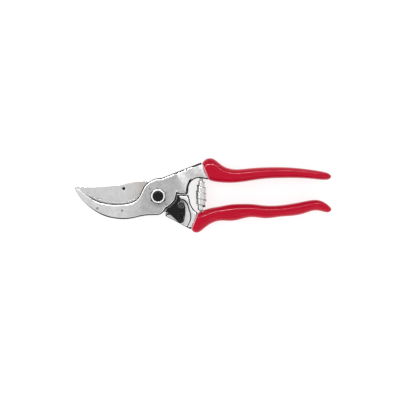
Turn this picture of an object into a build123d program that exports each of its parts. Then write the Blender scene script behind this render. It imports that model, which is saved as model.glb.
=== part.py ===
from build123d import *
import math
import os

# Bypass pruner, closed and locked, lying on its back.
# X runs from the blade's tip to the ends of the grips, Y runs across from the lower grip to
# the upper one, and Z stands up from the face that the pruner lies on. The origin is on the
# axis of the pivot bolt, at the outer face of the bolt's head. All sizes are millimetres.

# ------------------------------------------------------------------ driving dimensions
# The stack on the pivot bolt, counted upward.
HEAD_T = 2.4             # toothed head of the pivot bolt
PLATE_T = 5.5            # hub plate of the blade handle
BLADE_T = 3.2            # cutting blade
COUNTER_T = 1.8          # counter-blade
HUB_T = 4.5              # hub of the hook handle
NUT_T = 4.0              # pivot nut
SLIDE = 0.05             # working gap between flat faces that slide on each other

Z_PLATE = HEAD_T
Z_BLADE = Z_PLATE + PLATE_T
Z_COUNTER = Z_BLADE + BLADE_T + SLIDE
Z_HUB = Z_COUNTER + COUNTER_T
Z_HUB_TOP = Z_HUB + HUB_T
Z_NUT = Z_HUB_TOP + SLIDE

BOLT_R = 4.3             # shank of the pivot bolt
RUNNING = 0.05           # radial gap of a part that turns on a shaft
SNUG = 0.01              # radial gap of a part that stays still on a shaft

ARM_MID = 8.8            # height of the middle of the arms and grips
ARM_HALF = 6.0           # half the thickness of an arm
ARM_LOW = ARM_MID - ARM_HALF
ARM_TOP = ARM_MID + ARM_HALF
EDGE_ROUND = 1.6         # rounding of the arms' long edges
CLEAR_R = 17.2           # the thick arms begin outside this radius of the pivot
SPLIT_Y = 1.2            # height of the line where the closed arms meet
SPLIT_GAP = 0.3

PLATE_R = 13.4           # hub plate of the blade handle
CATCH_AT = (18.6, -7.0)  # pivot of the thumb catch
CATCH_GAP = 0.05
CATCH_T = 2.3
SPRING_X = 34.9          # axis of the spring, which runs along Y
SPRING_LOW = -11.6
SPRING_TOP = 12.9
TANG_END_X = 124.0       # the handles' tongues end here, inside the grips
LAST_INNER_X = 136.0     # stations beyond this one are too slim to draw in
SKIN = 1.6               # thickness of the grips in plan
SIDE_SKIN = 2.6          # thickness of the grips at their broad sides


def plan(height):
    """The plan plane at a height above the ground."""
    return Plane.XY.offset(height)


# ------------------------------------------------------------------ outlines of the grips
# Each row is a station along X: the grip's top and bottom edge in plan and half its depth.
UPPER_STATIONS = [
    (30.0, 25.2, 14.6, 8.1),
    (36.5, 28.2, 13.8, 8.4),
    (42.5, 31.5, 12.6, 8.8),
    (46.5, 30.0, 11.9, 8.8),
    (51.5, 25.9, 11.3, 8.6),
    (60.0, 22.5, 11.0, 8.5),
    (72.0, 22.8, 12.2, 8.5),
    (86.0, 23.8, 14.2, 8.4),
    (100.0, 24.0, 14.9, 8.3),
    (115.0, 23.1, 14.9, 8.2),
    (127.0, 21.6, 14.1, 8.0),
    (135.0, 20.2, 13.4, 7.4),
    (139.5, 18.9, 13.7, 5.4),
    (141.5, 17.4, 14.8, 2.4),
]
LOWER_STATIONS = [
    (22.0, -14.4, -25.8, 8.1),
    (27.5, -13.9, -28.0, 8.5),
    (32.2, -13.0, -29.9, 8.8),
    (37.0, -11.4, -26.8, 8.8),
    (42.5, -9.6, -22.7, 8.7),
    (50.0, -8.2, -20.1, 8.6),
    (60.0, -6.4, -20.2, 8.5),
    (68.0, -6.1, -18.6, 8.5),
    (76.0, -6.2, -17.1, 8.4),
    (87.0, -7.4, -18.1, 8.4),
    (99.0, -7.3, -16.9, 8.3),
    (110.0, -5.8, -16.0, 8.2),
    (120.0, -3.9, -13.9, 8.1),
    (129.0, -2.8, -11.6, 7.9),
    (135.0, -4.3, -12.7, 7.2),
    (139.5, -7.4, -13.3, 5.2),
    (141.7, -9.2, -12.0, 2.2),
]
# The slanted plane at each grip's front rim: a point on it and its direction towards the tip.
UPPER_RIM = ((38.0, 20.0), 22.5)
LOWER_RIM = ((29.5, -19.5), -21.8)


def station_points(top, bottom, half, steps=16, power=2.5):
    """Points of a rounded-rectangle section, in (Y, Z), going once round."""
    middle = (top + bottom) / 2
    reach = (top - bottom) / 2
    points = []
    for step in range(steps):
        angle = 2 * math.pi * (step + 0.5) / steps
        side = math.copysign(abs(math.cos(angle)) ** (2 / power), math.cos(angle))
        rise = math.copysign(abs(math.sin(angle)) ** (2 / power), math.sin(angle))
        points.append((middle + reach * side, ARM_MID + half * rise))
    return points


def grip_loft(stations, inset, side_inset, last_x):
    """A grip's outer form, drawn in by an inset in plan and another at its sides."""
    with BuildPart() as form:
        for x, top, bottom, half in stations:
            if x > last_x:
                continue
            with BuildSketch(Plane.YZ.offset(x)):
                with BuildLine():
                    Spline(*station_points(top - inset, bottom + inset, half - side_inset),
                           periodic=True)
                make_face()
        loft()
    return form.part


def inner_form(stations, inset, side_inset):
    """The hollow inside a grip, or the tongue that fills it, cut off square at its far end."""
    with BuildPart() as inner:
        add(grip_loft(stations, inset, side_inset, LAST_INNER_X))
        split(bisect_by=Plane.YZ.offset(TANG_END_X), keep=Keep.BOTTOM)
    return inner.part


def rim_plane(rim, shift=0.0):
    """The upright plane of a grip's rim, moved along its own direction by a shift."""
    (x, y), slant = rim
    ahead = Vector(math.cos(math.radians(slant)), math.sin(math.radians(slant)), 0)
    return Plane(origin=Vector(x, y, ARM_MID) + ahead * shift, z_dir=ahead)


# ------------------------------------------------------------------ outlines of the handles
HOOK_TIP = (-67.9, 6.2)
HOOK_OUTER = [(-65.9, 2.4), (-61.2, -3.8), (-55.5, -9.1), (-49.0, -13.5), (-41.0, -16.9),
              (-31.0, -18.5), (-22.0, -18.1), (-14.5, -16.4), (-8.0, -15.5)]
HOOK_INNER = [(-21.0, -4.6), (-27.0, -5.9), (-35.0, -6.3), (-43.0, -5.5), (-50.5, -3.3),
              (-57.0, 0.4), (-62.5, 4.4), (-66.6, 7.5)]
COUNTER_INNER = [(-20.0, -2.6), (-25.5, -4.2), (-33.0, -4.7), (-41.0, -4.1), (-49.0, -2.0),
                 (-56.5, 1.4), (-62.4, 5.0), (-66.0, 7.2)]
LOCK_CORNER = (4.3, -12.8)
LOCK_NOTCH = (6.4, -9.7)


def hook_outline():
    """Hub and hook of the hook handle in plan."""
    Spline(HOOK_TIP, *HOOK_OUTER)
    Polyline((-8.0, -15.5), (1.5, -15.2), LOCK_CORNER, LOCK_NOTCH)
    ThreePointArc(LOCK_NOTCH, (10.9, -6.5), (13.7, -3.4))
    Spline((13.7, -3.4), (14.5, -0.6), (15.3, 2.9))
    Polyline((15.3, 2.9), (16.6, SPLIT_Y + SPLIT_GAP), (24.2, SPLIT_Y + SPLIT_GAP), (24.5, 5.2))
    ThreePointArc((24.5, 5.2), (27.2, 12.5), (33.4, 15.1))
    Polyline((33.4, 15.1), (46.0, 12.8), (40.0, 29.8), (8.2, 17.0), (2.9, 14.9))
    ThreePointArc((2.9, 14.9), (-4.8, 13.4), (-10.4, 9.6))
    Spline((-10.4, 9.6), (-13.6, 4.2), (-16.6, -1.2), *HOOK_INNER)
    ThreePointArc(HOOK_INNER[-1], (-67.6, 7.3), HOOK_TIP)


def upper_arm_outline():
    """The thick arm of the hook handle in plan."""
    Polyline((10.0, SPLIT_Y + SPLIT_GAP), (24.2, SPLIT_Y + SPLIT_GAP), (24.5, 5.2))
    ThreePointArc((24.5, 5.2), (27.2, 12.5), (33.4, 15.1))
    Polyline((33.4, 15.1), (46.0, 12.8), (40.0, 29.8), (8.2, 17.0), (10.0, SPLIT_Y + SPLIT_GAP))


def lower_arm_outline():
    """The thick arm of the blade handle in plan."""
    Polyline((8.0, SPLIT_Y), (24.4, SPLIT_Y), (25.6, -3.0))
    ThreePointArc((25.6, -3.0), (27.3, -8.4), (31.2, -12.9))
    Polyline((31.2, -12.9), (34.0, -14.0), (29.0, -28.2), (24.0, -25.8), (5.4, -15.9), (8.0, SPLIT_Y))


def make_arm(outline, rim, top):
    """A square-edged arm, cut off at its grip's rim."""
    with BuildPart() as arm:
        with BuildSketch(plan(ARM_LOW)):
            with BuildLine():
                outline()
            make_face()
        extrude(amount=top - ARM_LOW)
        split(bisect_by=rim_plane(rim), keep=Keep.BOTTOM)
    return arm.part


def make_round_arm(outline, rim, top):
    """An arm with rounded long edges, cut off at its grip's rim."""
    with BuildPart() as arm:
        with BuildSketch(plan(ARM_LOW)):
            with BuildLine():
                outline()
            make_face()
        extrude(amount=top - ARM_LOW)
        fillet(arm.faces().filter_by(Axis.Z).edges(), radius=EDGE_ROUND)
        split(bisect_by=rim_plane(rim), keep=Keep.BOTTOM)
    return arm.part


def make_tang(stations, rim):
    """The slim tongue of a handle inside its grip."""
    with BuildPart() as tang:
        add(inner_form(stations, SKIN + SLIDE, SIDE_SKIN + SLIDE))
        split(bisect_by=rim_plane(rim, -1.0), keep=Keep.TOP)
    return tang.part


def round_cut(radius, low, high, at=(0.0, 0.0)):
    """An upright round solid to cut away or to add."""
    with BuildPart(plan(low)) as tool:
        with Locations(at):
            Cylinder(radius, high - low, align=(Align.CENTER, Align.CENTER, Align.MIN))
    return tool.part


# ------------------------------------------------------------------ hook handle
HUB_RIVETS = [(-6.7, 6.4), (6.6, -6.4)]
HOOK_RIVETS = [(-49.4, -9.6), (-29.2, -11.4)]
RIVET_R = 1.1
HUB_RIVET_R = 0.9
RAMP_START = 19.0
RAMP_END = 31.0
ARM_SLANT = 25.0


def make_hub_ramp():
    """The wedge above the upper arm, between the raised hub and the arm's own surface."""
    ahead = Vector(math.cos(math.radians(ARM_SLANT)), math.sin(math.radians(ARM_SLANT)), 0)
    side = Plane(origin=(0, 0, 0), x_dir=ahead, z_dir=Vector(ahead.Y, -ahead.X, 0))
    with BuildPart() as ramp:
        with BuildSketch(side):
            with BuildLine():
                Spline((RAMP_START, Z_HUB_TOP), ((RAMP_START + RAMP_END) / 2, (Z_HUB_TOP + ARM_TOP) / 2),
                       (RAMP_END, ARM_TOP), tangents=[(1, 0), (1, 0)])
                Polyline((RAMP_END, ARM_TOP), (60.0, ARM_TOP), (60.0, 30.0), (RAMP_START, 30.0),
                         (RAMP_START, Z_HUB_TOP))
            make_face()
        extrude(amount=40, both=True)
    return ramp.part


def make_hook_handle():
    with BuildPart() as hook_handle:
        with BuildSketch(plan(Z_HUB)):
            with BuildLine():
                hook_outline()
            make_face()
        extrude(amount=HUB_T)
        add(make_hub_ramp(), mode=Mode.SUBTRACT)
        split(bisect_by=rim_plane(UPPER_RIM), keep=Keep.BOTTOM)
        add(make_arm(upper_arm_outline, UPPER_RIM, Z_HUB) - round_cut(CLEAR_R, ARM_LOW - 1, Z_HUB))
        underside = hook_handle.faces().filter_by(Axis.Z).sort_by(Axis.Z)[0]
        fillet(underside.edges().sort_by(SortBy.LENGTH)[-1], radius=EDGE_ROUND)
        add(make_tang(UPPER_STATIONS, UPPER_RIM))
        add(round_cut(BOLT_R + RUNNING, Z_HUB - 1, Z_HUB_TOP + 1), mode=Mode.SUBTRACT)
        for spot in HUB_RIVETS:
            add(round_cut(HUB_RIVET_R, Z_HUB - 1, Z_HUB_TOP + 1, spot), mode=Mode.SUBTRACT)
        for spot in HOOK_RIVETS:
            add(round_cut(RIVET_R, Z_HUB - 1, Z_HUB_TOP + 1, spot), mode=Mode.SUBTRACT)
        add(make_peg(SPRING_TOP, PEG_UPPER_END, PEG_R), mode=Mode.SUBTRACT)
    return hook_handle.part


# ------------------------------------------------------------------ counter-blade
COUNTER_HUB_R = 11.9


def make_counter_blade():
    with BuildPart() as counter_blade:
        with BuildSketch(plan(Z_COUNTER)):
            with BuildLine():
                Spline((-8.5, -8.3), (-14.0, -11.0), (-24.0, -13.6), (-34.0, -13.8), (-45.0, -11.6),
                       (-54.0, -6.6), (-61.5, 0.8), (-66.4, 6.0))
                ThreePointArc((-66.4, 6.0), (-66.6, 6.7), COUNTER_INNER[-1])
                Spline(*COUNTER_INNER[::-1])
                Polyline(COUNTER_INNER[0], (-15.0, 1.2), (-11.6, 2.6), (-8.5, -8.3))
            make_face()
            Circle(COUNTER_HUB_R)
        extrude(amount=COUNTER_T)
        add(round_cut(BOLT_R + RUNNING, Z_COUNTER - 1, Z_HUB + 1), mode=Mode.SUBTRACT)
        for spot in HUB_RIVETS:
            add(round_cut(HUB_RIVET_R, Z_COUNTER - 1, Z_HUB + 1, spot), mode=Mode.SUBTRACT)
        for spot in HOOK_RIVETS:
            add(round_cut(RIVET_R, Z_COUNTER - 1, Z_HUB + 1, spot), mode=Mode.SUBTRACT)
    return counter_blade.part


def make_rivet(spot, radius):
    """A flush rivet with a low rounded head, through the hook and the counter-blade."""
    with BuildPart(plan(Z_COUNTER)) as rivet:
        length = HEAD_RISE + Z_HUB_TOP - Z_COUNTER
        with Locations(spot):
            Cylinder(radius, length, align=(Align.CENTER, Align.CENTER, Align.MIN))
        fillet(rivet.edges().sort_by(Axis.Z)[-1], radius=HEAD_RISE)
    return rivet.part


HEAD_RISE = 0.3


# ------------------------------------------------------------------ cutting blade
BLADE_SPINE = [(-7.0, 12.0), (-14.0, 12.4), (-22.0, 11.4), (-30.0, 9.7), (-39.0, 8.6), (-50.0, 7.7),
               (-60.0, 7.6), (-67.4, 7.9)]
BLADE_EDGE = [(-66.0, 5.6), (-61.0, 2.2), (-53.0, -2.4), (-45.0, -5.2), (-36.0, -6.8), (-27.0, -6.9),
              (-20.0, -5.8), (-15.0, -5.4), (-10.6, -6.6)]
BLADE_HOLE = (-28.6, 6.3)
BLADE_HOLE_R = 1.4
BLADE_HOLE_FLOOR = 0.5
BLADE_HUB_R = 12.4
DOWEL_AT = (-1.6, -9.6)
DOWEL_R = 1.5
BEVEL_DEPTH = 2.5
BEVEL_WIDTH = 4.6


def blade_outline(bevel):
    """The blade in plan, its cutting edge drawn back by a bevel that fades out at the hub."""
    last = len(BLADE_EDGE) - 1
    edge = []
    for index, (x, y) in enumerate(BLADE_EDGE):
        fade = min(1.0, 0.45 + 0.55 * index) * min(1.0, 0.5 * (last - index))
        edge.append((x, y + bevel * fade))
    Spline(*BLADE_SPINE)
    Line(BLADE_SPINE[-1], edge[0])
    Spline(*edge)
    Polyline(edge[-1], (0.0, -8.0), (0.0, 8.0), BLADE_SPINE[0])


def make_cutting_blade():
    with BuildPart() as cutting_blade:
        with BuildSketch(plan(Z_BLADE)):
            with BuildLine():
                blade_outline(BEVEL_WIDTH)
            make_face()
        with BuildSketch(plan(Z_BLADE + BEVEL_DEPTH)):
            with BuildLine():
                blade_outline(0)
            make_face()
        loft(ruled=True)
        with BuildSketch(plan(Z_BLADE + BEVEL_DEPTH)):
            with BuildLine():
                blade_outline(0)
            make_face()
        extrude(amount=BLADE_T - BEVEL_DEPTH)
        add(round_cut(BLADE_HUB_R, Z_BLADE, Z_BLADE + BLADE_T))
        for spot, radius in ((DOWEL_AT, DOWEL_R + SNUG), ((0, 0), BOLT_R + SNUG)):
            add(round_cut(radius, Z_BLADE - 1, Z_BLADE + BLADE_T + 1, spot), mode=Mode.SUBTRACT)
        add(round_cut(BLADE_HOLE_R, Z_BLADE + BLADE_HOLE_FLOOR, Z_BLADE + BLADE_T + 1, BLADE_HOLE),
            mode=Mode.SUBTRACT)
    return cutting_blade.part


# ------------------------------------------------------------------ blade handle
RECESS_FLOOR = Z_HUB - CATCH_GAP
SEGMENT_AT = (14.4, -8.0)
SCREW_HOLE_R = 1.5
LAND_CLEAR_R = 17.0


def make_recess():
    """The lowered seat of the thumb catch, open towards the hub."""
    with BuildPart() as recess:
        with BuildSketch(plan(RECESS_FLOOR)):
            with BuildLine():
                Polyline((17.4, 6.0), (17.4, -2.4))
                Spline((17.4, -2.4), (20.6, -2.9), (23.6, -6.1), (25.2, -11.0), (26.5, -15.8),
                       (26.0, -20.0), (23.4, -24.6))
                Polyline((23.4, -24.6), (20.0, -32.0), (0.0, -32.0), (0.0, 6.0), (17.4, 6.0))
            make_face()
        extrude(amount=10)
    return recess.part


def make_blade_handle():
    with BuildPart() as blade_handle:
        add(round_cut(PLATE_R, Z_PLATE, Z_BLADE))
        rims = blade_handle.edges().filter_by(GeomType.CIRCLE).sort_by(Axis.Z)
        chamfer(rims[0], length=0.6)
        lower_arm = make_round_arm(lower_arm_outline, LOWER_RIM, ARM_TOP)
        add(lower_arm - round_cut(LAND_CLEAR_R, Z_BLADE, ARM_TOP + 1))
        add(make_tang(LOWER_STATIONS, LOWER_RIM))
        add(make_recess(), mode=Mode.SUBTRACT)
        add(round_cut(BOLT_R + SNUG, Z_PLATE - 1, Z_BLADE + 1), mode=Mode.SUBTRACT)
        add(round_cut(DOWEL_R + SNUG, Z_BLADE - 3.5, Z_BLADE + 1, DOWEL_AT), mode=Mode.SUBTRACT)
        add(round_cut(SCREW_HOLE_R + SNUG, RECESS_FLOOR - 6, RECESS_FLOOR + 1, CATCH_AT),
            mode=Mode.SUBTRACT)
        add(round_cut(SCREW_HOLE_R + SNUG, 0, SEGMENT_DEPTH, SEGMENT_AT), mode=Mode.SUBTRACT)
        add(make_peg(PEG_LOWER_END, SPRING_LOW, PEG_R), mode=Mode.SUBTRACT)
    return blade_handle.part


# ------------------------------------------------------------------ grips
def make_grip(stations, rim):
    with BuildPart() as grip:
        add(grip_loft(stations, 0, 0, stations[-1][0]))
        add(inner_form(stations, SKIN, SIDE_SKIN), mode=Mode.SUBTRACT)
        split(bisect_by=rim_plane(rim, SLIDE), keep=Keep.TOP)
    return grip.part


def make_spring_pocket():
    """The round pocket in the lower grip and arm that the spring's lower end stands in."""
    with BuildPart() as pocket:
        with BuildSketch(Plane(origin=(SPRING_X, SPRING_LOW - SLIDE, ARM_MID), z_dir=(0, 1, 0))):
            Circle(3.6)
        extrude(amount=12)
    return pocket.part


# ------------------------------------------------------------------ spring and its pegs
PEG_R = 1.3
PEG_STAND = 3.0
PEG_DEEP = 4.0
PEG_UPPER_END = SPRING_TOP + PEG_DEEP + 2.0
PEG_LOWER_END = SPRING_LOW - PEG_DEEP - 1.5
SPRING_END_R = 2.7
SPRING_MID_R = 4.4
SPRING_BORE_R = 1.6


def make_peg(low, high, radius):
    """A round peg along the spring's axis."""
    with BuildPart() as peg:
        with BuildSketch(Plane(origin=(SPRING_X, low, ARM_MID), z_dir=(0, 1, 0))):
            Circle(radius)
        extrude(amount=high - low)
    return peg.part


def make_spring():
    """The barrel of the double volute spring, hollow along its axis."""
    middle = (SPRING_LOW + SPRING_TOP) / 2
    bore_end = SPRING_TOP - 0.2
    with BuildPart() as spring:
        with BuildSketch(Plane.XY.offset(ARM_MID)):
            with BuildLine():
                Polyline((SPRING_X + SPRING_BORE_R, SPRING_LOW), (SPRING_X + SPRING_END_R, SPRING_LOW))
                ThreePointArc((SPRING_X + SPRING_END_R, SPRING_LOW), (SPRING_X + SPRING_MID_R, middle),
                              (SPRING_X + SPRING_END_R, bore_end))
                Polyline((SPRING_X + SPRING_END_R, bore_end), (SPRING_X + SPRING_BORE_R, bore_end),
                         (SPRING_X + SPRING_BORE_R, SPRING_LOW))
            make_face()
        revolve(axis=Axis((SPRING_X, 0, ARM_MID), (0, 1, 0)))
    return spring.part


# ------------------------------------------------------------------ pivot bolt, nut and lock
TOOTH_COUNT = 28
HEAD_R = 10.0
HEAD_ROOT_R = 9.2
NUT_ACROSS = 12.0
BOLT_TOP = Z_NUT + NUT_T + 0.4


def make_centre_bolt():
    with BuildPart() as centre_bolt:
        with BuildSketch(plan(0)):
            Circle(HEAD_ROOT_R + 0.05)
            with PolarLocations(HEAD_ROOT_R, TOOTH_COUNT):
                Polygon((0, -0.8), (HEAD_R - HEAD_ROOT_R, -0.25), (HEAD_R - HEAD_ROOT_R, 0.25), (0, 0.8),
                        align=None)
        extrude(amount=HEAD_T)
        add(round_cut(5.6, -1, 0.6), mode=Mode.SUBTRACT)
        add(round_cut(BOLT_R, 0.6, BOLT_TOP))
        top = centre_bolt.edges().filter_by(GeomType.CIRCLE).sort_by(Axis.Z)[-1]
        chamfer(top, length=0.5)
    return centre_bolt.part


def make_nut_cone():
    """The turned form that rounds off the nut's upper corners."""
    top = Z_NUT + NUT_T
    with BuildPart() as cone:
        with BuildSketch(Plane.XZ):
            with BuildLine():
                Polyline((0, Z_NUT - 0.1), (9.0, Z_NUT - 0.1), (9.0, top - 2.4),
                         (NUT_ACROSS / 2 - 0.5, top), (0, top), (0, Z_NUT - 0.1))
            make_face()
        revolve(axis=Axis.Z)
    return cone.part


def make_centre_nut():
    with BuildPart() as centre_nut:
        with BuildSketch(plan(Z_NUT)):
            RegularPolygon(NUT_ACROSS / 2, 6, major_radius=False, rotation=30)
            Circle(BOLT_R + SNUG, mode=Mode.SUBTRACT)
        extrude(amount=NUT_T)
        add(make_nut_cone(), mode=Mode.INTERSECT)
    return centre_nut.part


SEGMENT_DEPTH = Z_PLATE + 6.0
SEGMENT_T = 1.7


def make_toothed_segment():
    """The little plate whose teeth hold the bolt's head; it lies flat on the hub plate."""
    with BuildPart() as toothed_segment:
        with BuildSketch(plan(Z_PLATE - SEGMENT_T)):
            with Locations(SEGMENT_AT):
                Circle(3.6)
            with Locations((11.5, -6.4)):
                Rectangle(6.4, 9.0, rotation=math.degrees(math.atan2(SEGMENT_AT[1], SEGMENT_AT[0])))
            Circle(HEAD_R + 0.2, mode=Mode.SUBTRACT)
            with Locations(SEGMENT_AT):
                Circle(SCREW_HOLE_R + SNUG, mode=Mode.SUBTRACT)
        extrude(amount=SEGMENT_T)
    return toothed_segment.part


def make_screw(spot, seat, direction, length, head_r, head_t, slot=0.9):
    """A slotted screw whose head stands on a seat and whose shank runs the other way."""
    with BuildPart() as screw:
        with BuildSketch(Plane.XY):
            Circle(head_r)
        extrude(amount=head_t)
        rim = screw.edges().filter_by(GeomType.CIRCLE).sort_by(Axis.Z)[-1]
        fillet(rim, radius=head_t * 0.45)
        with BuildSketch(Plane.XY.offset(head_t)):
            Rectangle(3 * head_r, slot)
        extrude(amount=-head_t * 0.45, mode=Mode.SUBTRACT)
        with BuildSketch(Plane.XY):
            Circle(SCREW_HOLE_R)
        extrude(amount=-length)
    place = Plane(origin=(spot[0], spot[1], seat), x_dir=(0.8, 0.6, 0), z_dir=(0, 0, direction))
    return place * screw.part


# ------------------------------------------------------------------ thumb catch
CATCH_TOP = RECESS_FLOOR + CATCH_GAP + CATCH_T
PAD_TOP = 19.4
PAD_AT = (18.3, -17.3)
RIB_COUNT = 5


def make_thumb_catch():
    with BuildPart() as thumb_catch:
        with BuildSketch(plan(RECESS_FLOOR + CATCH_GAP)):
            with BuildLine():
                Polyline((7.1, -10.4), (6.3, -11.7))
                ThreePointArc((6.3, -11.7), (6.5, -12.4), (7.2, -12.8))
                Spline((7.2, -12.8), (11.4, -16.4), (15.8, -20.8))
                ThreePointArc((15.8, -20.8), (18.4, -21.9), (20.9, -20.0))
                Spline((20.9, -20.0), (21.8, -15.0), (22.0, -9.4), (21.0, -5.6), (18.0, -4.2))
                Polyline((18.0, -4.2), (17.0, -1.4), (16.6, 0.6), (15.6, 0.4), (15.1, -2.6))
                Line((15.1, -2.6), (14.2, -4.2))
                ThreePointArc((14.2, -4.2), (11.2, -7.5), (7.1, -10.4))
            make_face()
        extrude(amount=CATCH_T)
        with BuildSketch(plan(CATCH_TOP - 0.2)):
            with Locations(PAD_AT):
                Ellipse(2.7, 3.6)
        extrude(amount=PAD_TOP - CATCH_TOP + 0.2, taper=8)
        with BuildSketch(plan(PAD_TOP)):
            with Locations(PAD_AT):
                with GridLocations(1.0, 1.25, 1, RIB_COUNT):
                    Rectangle(8.0, 0.55)
        extrude(amount=-0.7, mode=Mode.SUBTRACT)
        add(round_cut(SCREW_HOLE_R + RUNNING, RECESS_FLOOR - 1, PAD_TOP, CATCH_AT), mode=Mode.SUBTRACT)
    return thumb_catch.part


def make_catch_washer():
    with BuildPart() as catch_washer:
        with BuildSketch(plan(CATCH_TOP + CATCH_GAP)):
            with Locations(CATCH_AT):
                Circle(2.7)
                Circle(SCREW_HOLE_R + SNUG, mode=Mode.SUBTRACT)
        extrude(amount=WASHER_T)
    return catch_washer.part


WASHER_T = 0.4


# ------------------------------------------------------------------ write every piece
def make_pieces():
    upper_grip = make_grip(UPPER_STATIONS, UPPER_RIM)
    lower_grip = make_grip(LOWER_STATIONS, LOWER_RIM) - make_spring_pocket()
    lower_grip = lower_grip - make_peg(PEG_LOWER_END, SPRING_LOW, PEG_R + SNUG)
    catch_seat = CATCH_TOP + CATCH_GAP + WASHER_T
    pieces = {
        "hook_handle": make_hook_handle(),
        "counter_blade": make_counter_blade(),
        "hook_rivet_front": make_rivet(HOOK_RIVETS[0], RIVET_R - SNUG),
        "hook_rivet_rear": make_rivet(HOOK_RIVETS[1], RIVET_R - SNUG),
        "hub_rivet_upper": make_rivet(HUB_RIVETS[0], HUB_RIVET_R - SNUG),
        "hub_rivet_lower": make_rivet(HUB_RIVETS[1], HUB_RIVET_R - SNUG),
        "cutting_blade": make_cutting_blade(),
        "blade_dowel": round_cut(DOWEL_R, Z_BLADE - 3.4, Z_BLADE + BLADE_T - 0.2, DOWEL_AT),
        "blade_handle": make_blade_handle() - make_spring_pocket(),
        "centre_bolt": make_centre_bolt(),
        "centre_nut": make_centre_nut(),
        "toothed_segment": make_toothed_segment(),
        "segment_screw": make_screw(SEGMENT_AT, Z_PLATE - SEGMENT_T, -1, 6.5, 2.5, 0.65, 0.6),
        "spring": make_spring(),
        "spring_peg_upper": make_peg(SPRING_TOP - PEG_STAND, PEG_UPPER_END, PEG_R - SNUG),
        "spring_peg_lower": make_peg(PEG_LOWER_END, SPRING_LOW + PEG_STAND, PEG_R - SNUG),
        "thumb_catch": make_thumb_catch(),
        "catch_screw": make_screw(CATCH_AT, catch_seat, 1, 7.5, 3.0, 1.5),
        "catch_washer": make_catch_washer(),
        "upper_grip": upper_grip,
        "lower_grip": lower_grip,
    }
    return pieces


os.makedirs("parts", exist_ok=True)
for name, piece in make_pieces().items():
    piece.label = name
    export_step(piece, f"parts/{name}.step")
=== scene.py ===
import math

import bmesh
import bpy
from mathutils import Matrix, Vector
from mathutils.bvhtree import BVHTree


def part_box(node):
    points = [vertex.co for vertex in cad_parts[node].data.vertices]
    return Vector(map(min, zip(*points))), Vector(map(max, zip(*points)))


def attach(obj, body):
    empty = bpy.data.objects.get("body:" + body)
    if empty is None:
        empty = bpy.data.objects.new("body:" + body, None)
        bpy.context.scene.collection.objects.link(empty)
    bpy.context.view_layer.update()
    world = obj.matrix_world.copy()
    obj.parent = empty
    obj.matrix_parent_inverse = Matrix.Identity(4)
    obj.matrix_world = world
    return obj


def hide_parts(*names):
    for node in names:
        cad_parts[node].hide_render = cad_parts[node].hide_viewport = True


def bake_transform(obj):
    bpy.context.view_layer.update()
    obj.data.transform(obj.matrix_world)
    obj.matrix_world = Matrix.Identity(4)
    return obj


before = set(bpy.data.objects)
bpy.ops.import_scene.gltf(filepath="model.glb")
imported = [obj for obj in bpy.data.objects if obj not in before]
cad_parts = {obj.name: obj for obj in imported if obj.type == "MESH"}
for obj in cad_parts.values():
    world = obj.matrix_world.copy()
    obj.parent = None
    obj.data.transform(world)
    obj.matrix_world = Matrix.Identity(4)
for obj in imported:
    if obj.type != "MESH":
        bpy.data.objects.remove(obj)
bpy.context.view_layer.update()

# The looks of the bypass pruner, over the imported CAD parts. Everything is in metres, in the
# CAD frame: X towards the grips, Y towards the upper grip, Z up towards the camera.
MM = 0.001


# ------------------------------------------------------------------ camera, floor and light
VIEW_CENTRE = (33.96 * MM, -3.02 * MM)
VIEW_WIDTH = 327.0 * MM
LENS = 90.0
SENSOR = 36.0
MIDDLE_Z = 12.0 * MM
FLOOR_SIZE = 8.0
FLOOR_Z = -0.05 * MM


def add_camera():
    """A long lens looking straight down on the pruner."""
    data = bpy.data.cameras.new("camera")
    data.lens = LENS
    data.sensor_width = SENSOR
    data.clip_start = 0.05
    data.clip_end = 20.0
    camera = bpy.data.objects.new("camera", data)
    distance = VIEW_WIDTH * LENS / SENSOR
    camera.location = (VIEW_CENTRE[0], VIEW_CENTRE[1], MIDDLE_Z + distance)
    bpy.context.scene.collection.objects.link(camera)
    bpy.context.scene.camera = camera


def put(tree, kind, inputs=None, **settings):
    """Adds a shader node; an input can be a number, a colour or another node's output."""
    node = tree.nodes.new(kind)
    for key, value in settings.items():
        setattr(node, key, value)
    for key, value in (inputs or {}).items():
        if isinstance(value, bpy.types.NodeSocket):
            tree.links.new(value, node.inputs[key])
        else:
            node.inputs[key].default_value = value
    return node


def as_colour(value):
    """A colour as it is, or a brightness as a grey."""
    return value if isinstance(value, tuple) else (value,) * 3


def ramp(tree, factor, stops):
    """A colour ramp through (position, colour) stops."""
    node = put(tree, "ShaderNodeValToRGB", {"Fac": factor})
    elements = node.color_ramp.elements
    while len(elements) < len(stops):
        elements.new(0.5)
    for element, (place, colour) in zip(elements, stops):
        element.position = place
        element.color = (*as_colour(colour), 1.0)
    return node.outputs["Color"]


def add_world():
    """A white studio: bright overhead and dimmer towards the horizon."""
    world = bpy.data.worlds.new("studio")
    world.use_nodes = True
    tree = world.node_tree
    tree.nodes.clear()
    coords = put(tree, "ShaderNodeTexCoord")
    parts = put(tree, "ShaderNodeSeparateXYZ", {"Vector": coords.outputs["Generated"]})
    shade = ramp(tree, parts.outputs["Z"], [(0.0, 0.5), (0.25, 0.8), (0.6, 1.0), (0.85, 0.86)])
    sky = put(tree, "ShaderNodeBackground", {"Color": shade, "Strength": 1.0})
    out = put(tree, "ShaderNodeOutputWorld", {"Surface": sky.outputs["Background"]})
    out.is_active_output = True
    bpy.context.scene.world = world


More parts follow.
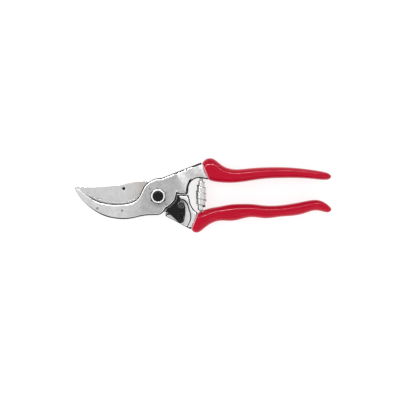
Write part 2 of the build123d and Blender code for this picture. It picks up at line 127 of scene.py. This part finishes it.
def add_lamp(name, size, place, aim, power, diffuse=True):
    """A rectangular soft light at a place, turned towards a point.

    A lamp that isn't diffuse only shows as a reflection."""
    data = bpy.data.lights.new(name, "AREA")
    data.shape = "RECTANGLE"
    data.size, data.size_y = size
    data.energy = power
    lamp = bpy.data.objects.new(name, data)
    lamp.location = place
    lamp.rotation_euler = (Vector(aim) - Vector(place)).to_track_quat("-Z", "Y").to_euler()
    lamp.visible_diffuse = diffuse
    bpy.context.scene.collection.objects.link(lamp)


def add_lights():
    """Two broad soft lamps, and a long thin one that draws the highlight along the grips."""
    middle = (0.035, 0.0, 0.01)
    grips = (0.08, 0.0, 0.01)
    add_lamp("key", (0.7, 0.7), (-0.75, 0.35, 0.80), middle, 2.0)
    add_lamp("fill", (0.7, 0.7), (0.55, -0.75, 0.75), middle, 1.5)
    add_lamp("grip_strip", (1.3, 0.03), (0.08, 0.62, 0.70), grips, 12.0, diffuse=False)


def add_floor():
    """A plain pale floor just under the pruner, faintly lit from below like a light table."""
    bpy.ops.mesh.primitive_plane_add(size=FLOOR_SIZE, location=(0.0, 0.0, FLOOR_Z))
    floor = bpy.context.object
    floor.name = "floor"
    material = bpy.data.materials.new("floor_paper")
    material.use_nodes = True
    tree = material.node_tree
    shader = tree.nodes["Principled BSDF"]
    coords = put(tree, "ShaderNodeTexCoord")
    grain = put(tree, "ShaderNodeTexNoise",
                {"Vector": coords.outputs["Object"], "Scale": 900.0, "Detail": 4.0})
    paper = ramp(tree, grain.outputs["Fac"], [(0.3, 0.42), (0.7, 0.44)])
    tree.links.new(paper, shader.inputs["Base Color"])
    shader.inputs["Roughness"].default_value = 0.9
    shader.inputs["Specular IOR Level"].default_value = 0.0
    shader.inputs["Emission Color"].default_value = (1.0, 1.0, 1.0, 1.0)
    shader.inputs["Emission Strength"].default_value = 0.72
    floor.data.materials.append(material)


# ------------------------------------------------------------------ materials
ARM_SLANT = math.radians(25.0)
# The stretch of the upper arm, along X in mm, where its top face slopes up to the hub.
SLOPE_START = 17.5
SLOPE_END = 33.0
# Brightness painted on the upright faces, a painted shade that only shows when the pruner is seen from
# its sides.
UPRIGHT_PAINTED_SHADE = 0.34
# Where the blade's colour turns into its root's, along X in mm.
ROOT_START = -24.0
ROOT_END = -10.0


class Finish:
    """The shader of one material, in coordinates that count millimetres."""

    def __init__(self, name):
        self.material = bpy.data.materials.new(name)
        self.material.use_nodes = True
        self.tree = self.material.node_tree
        self.shader = self.tree.nodes["Principled BSDF"]
        self.coords = put(self.tree, "ShaderNodeTexCoord")
        self.place = self.scaled((1000.0, 1000.0, 1000.0))

    def scaled(self, scale, turn=0.0):
        node = put(self.tree, "ShaderNodeMapping", {"Vector": self.coords.outputs["Object"]})
        node.inputs["Scale"].default_value = scale
        node.inputs["Rotation"].default_value = (0.0, 0.0, turn)
        return node.outputs["Vector"]

    def noise(self, scale, detail=4.0, rough=0.55, vector=None):
        inputs = {"Vector": vector or self.place, "Scale": scale, "Detail": detail, "Roughness": rough}
        return put(self.tree, "ShaderNodeTexNoise", inputs).outputs["Fac"]

    def maths(self, operation, first, second=0.0):
        node = put(self.tree, "ShaderNodeMath", {0: first, 1: second}, operation=operation)
        return node.outputs[0]

    def spread(self, value, low, high):
        """Turns a noise value around one half into a range."""
        node = put(self.tree, "ShaderNodeMapRange", {0: value, 1: 0.3, 2: 0.7, 3: low, 4: high})
        return node.outputs[0]

    def mix(self, factor, first, second, blend="MIX"):
        node = put(self.tree, "ShaderNodeMix", data_type="RGBA", blend_type=blend)
        for index, value in ((0, factor), (6, first), (7, second)):
            if isinstance(value, bpy.types.NodeSocket):
                self.tree.links.new(value, node.inputs[index])
            elif index == 0:
                node.inputs[index].default_value = value
            else:
                node.inputs[index].default_value = (*as_colour(value), 1.0)
        return node.outputs[2]

    def upright(self, radius):
        """How far the surface faces up or down, with edges read as rounded by a radius."""
        bevel = put(self.tree, "ShaderNodeBevel", {"Radius": radius * MM}, samples=6)
        parts = put(self.tree, "ShaderNodeSeparateXYZ", {"Vector": bevel.outputs["Normal"]})
        return self.maths("ABSOLUTE", parts.outputs["Z"]), bevel.outputs["Normal"]

    def finish(self, colour, rough, bumps, metallic=1.0, normal=None, **more):
        """Links the parts of the shader; bumps are (height, strength, distance in mm)."""
        self.tree.links.new(colour, self.shader.inputs["Base Color"])
        if isinstance(rough, bpy.types.NodeSocket):
            self.tree.links.new(rough, self.shader.inputs["Roughness"])
        else:
            self.shader.inputs["Roughness"].default_value = rough
        self.shader.inputs["Metallic"].default_value = metallic
        for height, strength, distance in bumps:
            node = put(self.tree, "ShaderNodeBump", {"Height": height, "Strength": strength,
                                                     "Distance": distance * MM})
            if normal is not None:
                self.tree.links.new(normal, node.inputs["Normal"])
            normal = node.outputs["Normal"]
        if normal is not None:
            self.tree.links.new(normal, self.shader.inputs["Normal"])
        for key, value in more.items():
            self.shader.inputs[key.replace("_", " ")].default_value = value
        return self.material


def forged(name, zones, side=0.02, edge=0.95, radius=0.6, rough=0.4):
    """Forged and tumbled light alloy: bright flats, and edges with a painted highlight line and a
    painted shade line.

    zones are (x in mm, brightness) stops along the handle; side and edge are the brightness of the
    painted shade and the painted highlight along the edges. The sloping stretch of an arm counts as
    flat."""
    made = Finish(name)
    across = put(made.tree, "ShaderNodeSeparateXYZ", {"Vector": made.place}).outputs["X"]
    low, high = zones[0][0], zones[-1][0]
    along = put(made.tree, "ShaderNodeMapRange", {0: across, 1: low, 2: high, 3: 0.0, 4: 1.0}).outputs[0]
    flat = ramp(made.tree, along, [((x - low) / (high - low), value) for x, value in zones])
    up, normal = made.upright(radius)
    parts = put(made.tree, "ShaderNodeSeparateXYZ", {"Vector": normal})
    lean = made.maths("ADD", made.maths("MULTIPLY", parts.outputs["X"], -math.sin(ARM_SLANT)),
                      made.maths("MULTIPLY", parts.outputs["Y"], math.cos(ARM_SLANT)))
    level = made.maths("SQRT", made.maths("SUBTRACT", 1.0, made.maths("MULTIPLY", lean, lean)))
    sloping = made.maths("MULTIPLY", made.maths("GREATER_THAN", across, SLOPE_START),
                         made.maths("LESS_THAN", across, SLOPE_END))
    sloping = made.maths("MULTIPLY", sloping, made.maths("GREATER_THAN", up, 0.9))
    up = put(made.tree, "ShaderNodeMix", {0: sloping, 2: up, 3: level}).outputs[0]
    # Painted shade and painted highlight by surface direction: faces turned away from up go dark to
    # side, a band next to the flat goes bright to edge, and upright faces get the painted upright shade.
    rim = ramp(made.tree, up, [(0.1, UPRIGHT_PAINTED_SHADE), (0.32, side), (0.89, side), (0.925, edge),
                               (0.975, edge), (1.0, 1.0)])
    is_flat = ramp(made.tree, up, [(0.95, 0.0), (0.985, 1.0)])
    colour = made.mix(is_flat, rim, flat)
    cloud = ramp(made.tree, made.noise(0.12, 5.0), [(0.3, 0.93), (0.7, 1.04)])
    colour = made.mix(1.0, colour, cloud, "MULTIPLY")
    speck = ramp(made.tree, made.noise(2.6, 6.0, 0.7), [(0.35, 0.86), (0.5, 1.0), (0.68, 1.06)])
    colour = made.mix(0.6, colour, speck, "MULTIPLY")
    scratch = made.noise(1.0, 3.0, 0.6, made.scaled((260.0, 5200.0, 260.0), 0.5))
    colour = made.mix(0.35, colour, ramp(made.tree, scratch, [(0.36, 0.8), (0.44, 1.0)]), "MULTIPLY")
    gloss = made.spread(made.noise(0.5, 5.0), rough - 0.07, rough + 0.09)
    skin = made.noise(1.6, 6.0, 0.65)
    dents = made.noise(0.16, 3.0)
    return made.finish(colour, gloss, [(dents, 0.25, 0.5), (skin, 0.22, 0.06)], normal=normal)


def ground(name, face, root=None, side=0.05, edge=0.9, radius=0.35, rough=0.3, lines=1.0,
           painted_shade_to=0.72, hole=None):
    """Ground steel with fine grinding lines across the blade, and edges with a painted shade line and a
    painted highlight line.

    root is a second colour near the pivot; hole is a place in mm around which a painted shadow colours
    the hole near-black; side and edge are the brightness of the painted shade and the painted highlight
    along the edges."""
    made = Finish(name)
    spots = put(made.tree, "ShaderNodeSeparateXYZ", {"Vector": made.place})
    up, normal = made.upright(radius)
    flat = made.mix(0.0, face, face)
    if root:
        near = put(made.tree, "ShaderNodeMapRange",
                   {0: spots.outputs["X"], 1: ROOT_START, 2: ROOT_END, 3: 0.0, 4: 1.0})
        flat = made.mix(near.outputs[0], face, root)
    # Painted shade and painted highlight by surface direction: faces turned away from up go dark to
    # side, then a band next to the flat goes bright to edge.
    rim = ramp(made.tree, up, [(0.1, UPRIGHT_PAINTED_SHADE), (0.32, side), (painted_shade_to, side),
                               (painted_shade_to + 0.05, edge), (0.98, edge)])
    colour = made.mix(ramp(made.tree, up, [(0.95, 0.0), (0.985, 1.0)]), rim, flat)
    grinding = made.noise(1.0, 4.0, 0.7, made.scaled((4200.0, 160.0, 300.0), 0.12))
    tracks = ramp(made.tree, grinding, [(0.3, 0.93), (0.7, 1.05)])
    colour = made.mix(0.55 * lines, colour, tracks, "MULTIPLY")
    cloud = ramp(made.tree, made.noise(0.2, 4.0), [(0.3, 0.93), (0.7, 1.05)])
    colour = made.mix(1.0, colour, cloud, "MULTIPLY")
    stain = ramp(made.tree, made.noise(0.9, 6.0, 0.7), [(0.30, 0.86), (0.42, 1.0)])
    colour = made.mix(0.4, colour, stain, "MULTIPLY")
    if hole:
        # A painted shadow: near-black within about 1.4 mm of the hole's middle.
        away = put(made.tree, "ShaderNodeVectorMath", {0: made.place, 1: hole}, operation="DISTANCE")
        colour = made.mix(ramp(made.tree, made.maths("DIVIDE", away.outputs["Value"], 4.0),
                               [(0.34, 1.0), (0.36, 0.0)]), colour, 0.01)
    gloss = made.spread(grinding, rough - 0.06, rough + 0.1)
    bumps = [(grinding, 0.2 * lines, 0.03), (made.noise(3.0), 0.1, 0.02)]
    return made.finish(colour, gloss, bumps, normal=normal)


def plated(name, face, side, radius, rough=0.28, edge=1.0, painted_shade_to=0.74):
    """Small turned hardware: worn plating, with painted shade on its tilted faces and corners and a
    painted highlight band along its edges.
    """
    made = Finish(name)
    up, normal = made.upright(radius)
    # Painted light and shade by surface direction: upright faces at 0.7 of the face colour, tilted faces
    # dark to side, a painted highlight band of edge brightness, then the face colour on top.
    colour = ramp(made.tree, up, [(0.1, 0.7 * face), (0.32, side), (painted_shade_to, side),
                                  (painted_shade_to + 0.05, edge), (0.985, face)])
    wear = ramp(made.tree, made.noise(0.9, 6.0, 0.7), [(0.32, 0.8), (0.5, 1.0), (0.7, 1.05)])
    colour = made.mix(0.7, colour, wear, "MULTIPLY")
    turned = made.noise(2.4, 5.0)
    gloss = made.spread(made.noise(1.4), rough - 0.08, rough + 0.1)
    return made.finish(colour, gloss, [(turned, 0.2, 0.04)], normal=normal)


def grip_rubber(name):
    """Glossy dipped plastic, crimson, with a painted pale highlight on the rolled rim and a faint orange
    peel.
    """
    made = Finish(name)
    tone = made.noise(0.06, 4.0)
    colour = ramp(made.tree, tone, [(0.3, (0.46, 0.0, 0.019)), (0.7, (0.52, 0.0, 0.024))])
    scuff = ramp(made.tree, made.noise(1.3, 6.0, 0.7), [(0.30, 0.88), (0.45, 1.0), (0.72, 1.04)])
    colour = made.mix(0.7, colour, scuff, "MULTIPLY")
    # The pale pink on the lip's rings is a painted highlight on the rolled rim.
    lip = put(made.tree, "ShaderNodeAttribute", attribute_name="lip").outputs["Fac"]
    colour = made.mix(lip, colour, (0.78, 0.36, 0.42))
    gloss = made.spread(made.noise(0.8, 5.0), 0.10, 0.15)
    peel = made.noise(1.1, 3.0)
    fine = made.noise(6.0, 4.0)
    return made.finish(colour, gloss, [(peel, 0.12, 0.06), (fine, 0.1, 0.015)], metallic=0.0,
                       Specular_IOR_Level=0.15)


def moulded_black(name):
    """Glossy black plastic of the thumb catch, with fine handling scratches."""
    made = Finish(name)
    up, normal = made.upright(0.5)
    tone = made.noise(0.7, 5.0)
    colour = ramp(made.tree, tone, [(0.3, (0.003, 0.003, 0.0035)), (0.7, (0.006, 0.006, 0.007))])
    # A paler band on the rounded edges, set by surface direction: handling wear and a painted highlight.
    worn = ramp(made.tree, up, [(0.72, 0.0), (0.82, 0.35), (0.92, 0.0)])
    colour = made.mix(worn, colour, (0.16, 0.16, 0.17))
    scratch = made.noise(1.0, 3.0, 0.6, made.scaled((300.0, 4200.0, 300.0), 0.8))
    gloss = made.spread(scratch, 0.2, 0.34)
    return made.finish(colour, gloss, [(made.noise(1.8, 4.0), 0.15, 0.05)], metallic=0.0, normal=normal,
                       Specular_IOR_Level=0.2)


def spring_steel(name):
    """Rolled spring strip: polished bands, with painted shade darkening the strip's edges."""
    made = Finish(name)
    edge = put(made.tree, "ShaderNodeAttribute", attribute_name="strip_edge_shade").outputs["Fac"]
    base = ramp(made.tree, made.noise(0.5, 5.0), [(0.3, 0.62), (0.7, 0.78)])
    # Painted shade: the strip's edges are coloured nearly black.
    colour = made.mix(edge, base, 0.02)
    rolled = made.noise(1.0, 4.0, 0.6, made.scaled((400.0, 4000.0, 400.0)))
    colour = made.mix(0.4, colour, ramp(made.tree, rolled, [(0.3, 0.8), (0.7, 1.1)]), "MULTIPLY")
    gloss = made.spread(rolled, 0.2, 0.34)
    return made.finish(colour, gloss, [(rolled, 0.15, 0.03)])


# ------------------------------------------------------------------ pieces made from the CAD
# Within these distances of a rivet's or the pivot's axis, in mm, no edge is rounded.
RIVET_REACH = 2.2
PIVOT_REACH = 5.2
# The hook's edges are rounded less and less beyond this place along X.
HOOK_THIN_X = -48.0


def centre_of(node):
    """Middle of a CAD node's box, in millimetres."""
    low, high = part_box(node)
    return (low + high) / 2 / MM


def near_axis(spot, axes, radius):
    """True within a radius of one of some upright axes, in millimetres."""
    return any(math.hypot(spot.x - axis.x, spot.y - axis.y) < radius for axis in axes)


def node_mesh(node, filled=()):
    """The welded mesh of a CAD node, its flat faces whole again and its riveted holes closed."""
    mesh = bmesh.new()
    mesh.from_mesh(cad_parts[node].data)
    bmesh.ops.remove_doubles(mesh, verts=mesh.verts, dist=0.004 * MM)
    axes = [centre_of(name) for name in filled]
    walls = [face for face in mesh.faces if abs(face.normal.z) < 0.3
             and near_axis(face.calc_center_median() / MM, axes, RIVET_REACH)]
    bmesh.ops.delete(mesh, geom=walls, context="FACES")
    rims = [edge for edge in mesh.edges if edge.is_boundary]
    bmesh.ops.holes_fill(mesh, edges=rims, sides=0)
    bmesh.ops.recalc_face_normals(mesh, faces=mesh.faces)
    bmesh.ops.dissolve_limit(mesh, angle_limit=math.radians(0.4), verts=mesh.verts, edges=mesh.edges)
    return mesh


def add_piece(name, mesh, body, material, replaced=()):
    """Makes an object from a bmesh and hangs it on a body."""
    data = bpy.data.meshes.new(name)
    mesh.to_mesh(data)
    mesh.free()
    for face in data.polygons:
        face.use_smooth = True
    data.materials.append(material)
    piece = bpy.data.objects.new(name, data)
    bpy.context.scene.collection.objects.link(piece)
    if body:
        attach(piece, body)
    for node in replaced:
        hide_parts(node)
    return piece


def soften(piece, width, segments=3):
    """Rounds a piece's sharp edges by their weights and evens out its shading."""
    bevel = piece.modifiers.new("edges", "BEVEL")
    bevel.limit_method = "WEIGHT"
    bevel.width = width * MM
    bevel.segments = segments
    bevel.use_clamp_overlap = False
    even = piece.modifiers.new("even", "WEIGHTED_NORMAL")
    even.keep_sharp = False


def weigh(mesh, weight, angle=32.0):
    """Gives each sharp edge a share of the full rounding."""
    layer = mesh.edges.layers.float.new("bevel_weight_edge")
    for edge in mesh.edges:
        if len(edge.link_faces) == 2 and edge.calc_face_angle() > math.radians(angle):
            edge[layer] = weight((edge.verts[0].co + edge.verts[1].co) / 2 / MM)


def rework(node, body, material, width, segments=3, weight=lambda spot: 1.0, filled=()):
    """Stands a softened copy of a CAD node in its place."""
    mesh = node_mesh(node, filled)
    weigh(mesh, weight)
    piece = add_piece(f"{node}_worn", mesh, body, material, (node,))
    soften(piece, width, segments)


def handle_weight(grip, holes):
    """Shares of rounding for a handle: less at the hook's thin tip, none at holes or by the grip."""
    axes = [centre_of(node) for node in holes]
    rim, way = rim_of(grip)

    def weight(spot):
        if (spot * MM - rim).dot(way) > -0.5 * MM or near_axis(spot, axes, RIVET_REACH):
            return 0.0
        if near_axis(spot, [Vector()], PIVOT_REACH):
            return 0.0
        return 1.0 if spot.x > HOOK_THIN_X else max(0.12, 1 + (spot.x - HOOK_THIN_X) / 18)

    return weight


# ------------------------------------------------------------------ grips
GRIP_STATIONS = 150
GRIP_SIDES = 56
GRIP_POWER = 2.35
RIM_BLEND = 24.0 * MM
LIP_ROUND = 0.9 * MM
LIP_STEPS = 5
TIP_ROUND = 3.2 * MM
CAD_POWER = 2.5
POCKET_END = 45 * MM
GUIDE_STATIONS = 60
GUIDE_AFTER = 14 * MM
FAR = 50 * MM
UP = Vector((0.0, 0.0, 1.0))


def skin_of(node):
    """A grip's CAD surface, made ready for rays."""
    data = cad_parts[node].data
    corners = [vert.co.copy() for vert in data.vertices]
    return BVHTree.FromPolygons(corners, [face.vertices[:] for face in data.polygons])


def rim_of(node):
    """Middle and direction of the flat front rim of a grip."""
    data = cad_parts[node].data
    front = min(v.co.x for v in data.vertices) + 18 * MM
    centre, direction, total = Vector(), Vector(), 0.0
    for face in data.polygons:
        if face.center.x < front and abs(face.normal.z) < 0.01 and face.normal.x < -0.85:
            centre += face.center * face.area
            direction += face.normal * face.area
            total += face.area
    return centre / total, -direction.normalized()


def outermost(skin, origin, way, lifts, along):
    """How far the skin reaches from an origin along a way: the farthest of some parallel looks."""
    found = []
    for lift in lifts:
        start = origin + way * FAR + along * lift
        hit = skin.ray_cast(start, -way)[0]
        if hit is not None:
            found.append((hit - origin).dot(way))
    return max(found) if found else None


def probe(skin, origin, ahead):
    """Middle, half width, half depth and height of the grip's section through a point.

    The sides are looked at above and below the middle, clear of the spring's pocket."""
    aside = Vector((-ahead.y, ahead.x, 0.0))
    nudges = (-0.7 * MM, 0.0, 0.7 * MM)
    above = outermost(skin, origin, UP, nudges, ahead)
    below = outermost(skin, origin, -UP, nudges, ahead)
    if above is None or below is None:
        return None
    half = (above + below) / 2
    lift = 4.6 * MM if origin.x < POCKET_END else 0.8 * MM
    left = outermost(skin, origin, aside, (-lift, lift), UP)
    right = outermost(skin, origin, -aside, (-lift, lift), UP)
    if left is None or right is None:
        return None
    share = (1 - min(lift / half, 0.9) ** CAD_POWER) ** (1 / CAD_POWER)
    middle = origin + aside * (left - right) / 2
    above = outermost(skin, middle, UP, nudges, ahead)
    below = outermost(skin, middle, -UP, nudges, ahead)
    if above is None or below is None:
        return None
    reach = (left + right) / 2 / share
    return [middle.x, middle.y, reach, (above + below) / 2, middle.z + (above - below) / 2]


def steady(rows):
    """Replaces each number by the middle one of five neighbours, which drops a stray look."""
    last = len(rows) - 1
    out = []
    for i in range(len(rows)):
        near = [rows[min(max(i + k, 0), last)] for k in (-2, -1, 0, 1, 2)]
        out.append([sorted(values)[2] for values in zip(*near)] if 1 < i < last - 1 else rows[i])
    return out


def smooth_rows(rows, passes):
    """Evens out rows of numbers along a grip, its two ends held."""
    for _ in range(passes):
        rows = [rows[0]] + [
            [(a + 2 * b + c) / 4 for a, b, c in zip(rows[i - 1], rows[i], rows[i + 1])]
            for i in range(1, len(rows) - 1)
        ] + [rows[-1]]
    return rows


def grip_rows(node):
    """Sections down the length of a grip, slanted like its rim in front and upright behind."""
    skin = skin_of(node)
    rim, slant_way = rim_of(node)
    slant = math.atan2(slant_way.y, slant_way.x)
    end = max(v.co.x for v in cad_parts[node].data.vertices) - 0.25 * MM
    guide = []
    guide_start = rim.x + GUIDE_AFTER
    for step in range(GUIDE_STATIONS):
        x = guide_start + (end - guide_start) * step / (GUIDE_STATIONS - 1)
        y = guide[-1][1] if guide else rim.y
        found = probe(skin, Vector((x, y, rim.z)), Vector((1, 0, 0)))
        guide.append(found or guide[-1])
    guide = steady(guide)
    first = guide[0]
    rows, ways = [], []
    for step in range(GRIP_STATIONS):
        share = step / (GRIP_STATIONS - 1)
        x = rim.x + 0.1 * MM + (end - rim.x - 0.1 * MM) * share
        if x < first[0]:
            part = (x - rim.x) / (first[0] - rim.x)
            y = rim.y + (first[1] - rim.y) * part
        else:
            after = min(range(len(guide)), key=lambda i: abs(guide[i][0] - x))
            y = guide[after][1]
        fade = min(1.0, max(0.0, (x - rim.x) / RIM_BLEND))
        turn = slant * (1 - fade * fade * (3 - 2 * fade))
        way = Vector((math.cos(turn), math.sin(turn), 0.0))
        found = probe(skin, Vector((x, y, rim.z)), way)
        if found:
            rows.append(found)
            ways.append(way)
    return smooth_rows(steady(rows), 3), ways


def ring(mesh, row, way, shrink=0.0, scale=1.0):
    """One closed section of a grip."""
    x, y, reach, half, z = row
    aside = Vector((-way.y, way.x, 0.0))
    reach = max(reach * scale - shrink, 0.0001)
    half = max(half * scale - shrink, 0.0001)
    points = []
    for side in range(GRIP_SIDES):
        angle = 2 * math.pi * side / GRIP_SIDES
        across = math.copysign(abs(math.cos(angle)) ** (2 / GRIP_POWER), math.cos(angle))
        rise = math.copysign(abs(math.sin(angle)) ** (2 / GRIP_POWER), math.sin(angle))
        place = Vector((x, y, z)) + aside * reach * across + Vector((0, 0, half * rise))
        points.append(mesh.verts.new(place))
    return points


def bridge(mesh, first, second):
    """Faces between two rings that have as many points."""
    for i in range(len(first)):
        j = (i + 1) % len(first)
        mesh.faces.new((first[i], first[j], second[j], second[i]))


def make_grip(node, body):
    """A moulded sleeve with a rolled lip, swept through sections measured on the CAD grip."""
    rows, ways = grip_rows(node)
    mesh = bmesh.new()
    lip = mesh.verts.layers.float.new("lip")
    rings = []
    start = Vector((rows[0][0], rows[0][1], rows[0][4]))
    mouth = 2.4 * MM
    for depth, shrink in ((7 * MM, mouth), (0.5 * MM, mouth), (0.0, mouth - 0.4 * MM)):
        row = [start.x + ways[0].x * depth, start.y + ways[0].y * depth, *rows[0][2:]]
        rings.append(ring(mesh, row, ways[0], shrink))
    for step in range(LIP_STEPS + 1):
        angle = math.pi / 2 * step / LIP_STEPS
        depth = LIP_ROUND * (1 - math.cos(angle))
        row = [start.x + ways[0].x * depth, start.y + ways[0].y * depth, *rows[0][2:]]
        rings.append(ring(mesh, row, ways[0], LIP_ROUND * (1 - math.sin(angle))))
    tip = rows[-1][0]
    for row, way in zip(rows, ways):
        travelled = (Vector((row[0], row[1], row[4])) - start).length
        if travelled < LIP_ROUND * 1.3:
            continue
        left = max(tip - row[0], 0.0)
        scale = 1.0
        if left < TIP_ROUND:
            scale = math.sqrt(max(1 - (1 - left / TIP_ROUND) ** 2, 0.0)) * 0.35 + 0.65
        rings.append(ring(mesh, row, way, 0.0, scale))
    for first, second in zip(rings, rings[1:]):
        bridge(mesh, first, second)
    mesh.faces.new(rings[0][::-1])
    mesh.faces.new(rings[-1])
    bmesh.ops.recalc_face_normals(mesh, faces=mesh.faces)
    # The rolled rim's rings are marked for the painted highlight.
    for made in rings[2:3 + LIP_STEPS]:
        for vert in made:
            vert[lip] = 1.0
    add_piece(f"{node}_skin", mesh, body, RED, (node,))


# ------------------------------------------------------------------ spring
STRIP_WIDTH = 5.8
STRIP_THICK = 0.45
STRIP_COLUMNS = 8
STRIP_START = 0.9
SPRING_TURNS = 4.3
STEPS_PER_TURN = 48
SPRING_SMALL_R = 2.45
SPRING_LARGE_R = 4.38


def make_spring():
    """A double volute: a flat strip wound from a small turn to a large one and back."""
    low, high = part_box("spring")
    centre = (low + high) / 2
    bottom, top = low.y / MM, high.y / MM
    mesh = bmesh.new()
    edge = mesh.verts.layers.float.new("strip_edge_shade")
    total = int(SPRING_TURNS * STEPS_PER_TURN)
    first_mid = bottom + STRIP_WIDTH * 0.35
    last_mid = top - STRIP_WIDTH * 0.35
    rows = []
    for step in range(total + 1):
        share = step / total
        angle = 2 * math.pi * SPRING_TURNS * share + STRIP_START
        swell = math.sin(math.pi * share)
        radius = SPRING_SMALL_R + (SPRING_LARGE_R - SPRING_SMALL_R) * swell
        middle = first_mid + (last_mid - first_mid) * share
        row = []
        for inner in (0, 1):
            line = []
            for column in range(STRIP_COLUMNS + 1):
                along = middle + STRIP_WIDTH * (column / STRIP_COLUMNS - 0.5)
                along = min(max(along, bottom), top)
                at = radius - STRIP_THICK * inner
                place = Vector((centre.x + at * math.cos(angle) * MM, along * MM,
                                centre.z + at * math.sin(angle) * MM))
                vert = mesh.verts.new(place)
                # The strip's edge vertices are marked for the painted shade.
                vert[edge] = 1.0 if column in (0, STRIP_COLUMNS) else 0.0
                line.append(vert)
            row.append(line)
        rows.append(row[0] + row[1][::-1])
    for first, second in zip(rows, rows[1:]):
        bridge(mesh, first, second)
    mesh.faces.new(rows[0][::-1])
    mesh.faces.new(rows[-1])
    bmesh.ops.recalc_face_normals(mesh, faces=mesh.faces)
    piece = add_piece("spring_strip", mesh, None, SPRING, ("spring",))
    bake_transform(piece)


# ------------------------------------------------------------------ the whole pruner
add_camera()
add_world()
add_lights()
add_floor()
bpy.context.scene.view_settings.view_transform = "Standard"

RIVETS = ("hook_rivet_front", "hook_rivet_rear", "hub_rivet_upper", "hub_rivet_lower")
# The two handles are one alloy; their brightness stops along X are painted light and shade, the hub's
# darker stretch a painted shade.
UPPER_ALLOY = forged("upper_alloy", [(-70.0, 0.58), (-24.0, 0.54), (-12.0, 0.40),
                                     (14.0, 0.39), (26.0, 0.47), (60.0, 0.47)])
LOWER_ALLOY = forged("lower_alloy", [(-20.0, 0.55), (14.0, 0.60), (24.0, 0.66), (60.0, 0.66)])
# The side and edge brightnesses given below are the painted shade and painted highlight on each piece's
# edges.
BLADE = ground("blade_ground", 0.60, (0.50, 0.45, 0.42), hole=(-28.6, 6.3, 8.9))
COUNTER = ground("counter_ground", 0.50, radius=0.7, lines=0.6, edge=0.6, painted_shade_to=0.9)
RIVET = plated("rivet_steel", 0.30, 0.12, 0.3, edge=0.5)
NUT = plated("nut_zinc", 0.95, 0.05, 0.25, painted_shade_to=0.92)
BLACK = plated("bolt_black", 0.02, 0.01, 0.3, edge=0.05)
SEGMENT = plated("segment_steel", 0.4, 0.08, 0.3)
SCREW = plated("screw_steel", 0.55, 0.05, 0.3)
CATCH_SCREW = plated("catch_screw_black", 0.05, 0.01, 0.3, edge=0.35)
SPRING = spring_steel("spring_steel")
CATCH = moulded_black("catch_black")
RED = grip_rubber("grip_red")

rework("hook_handle", "hook_half", UPPER_ALLOY, 1.8, 4,
       handle_weight("upper_grip", RIVETS), RIVETS)
rework("blade_handle", "blade_half", LOWER_ALLOY, 0.8, 4,
       handle_weight("lower_grip", ("catch_screw", "segment_screw")))
rework("counter_blade", "hook_half", COUNTER, 0.4, 3,
       handle_weight("upper_grip", RIVETS), RIVETS)
rework("cutting_blade", "blade_half", BLADE, 0.12)
for rivet in RIVETS:
    rework(rivet, "hook_half", RIVET, 0.1)
rework("centre_nut", "blade_half", NUT, 0.3)
rework("centre_bolt", "blade_half", BLACK, 0.15)
rework("toothed_segment", "blade_half", SEGMENT, 0.25)
rework("segment_screw", "blade_half", SCREW, 0.1)
rework("thumb_catch", "catch", CATCH, 0.35)
rework("catch_screw", "blade_half", CATCH_SCREW, 0.12)
rework("catch_washer", "blade_half", SCREW, 0.08)
for node in ("blade_dowel", "spring_peg_upper", "spring_peg_lower"):
    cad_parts[node].data.materials.clear()
    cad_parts[node].data.materials.append(SCREW)
make_grip("upper_grip", "hook_half")
make_grip("lower_grip", "blade_half")
make_spring()
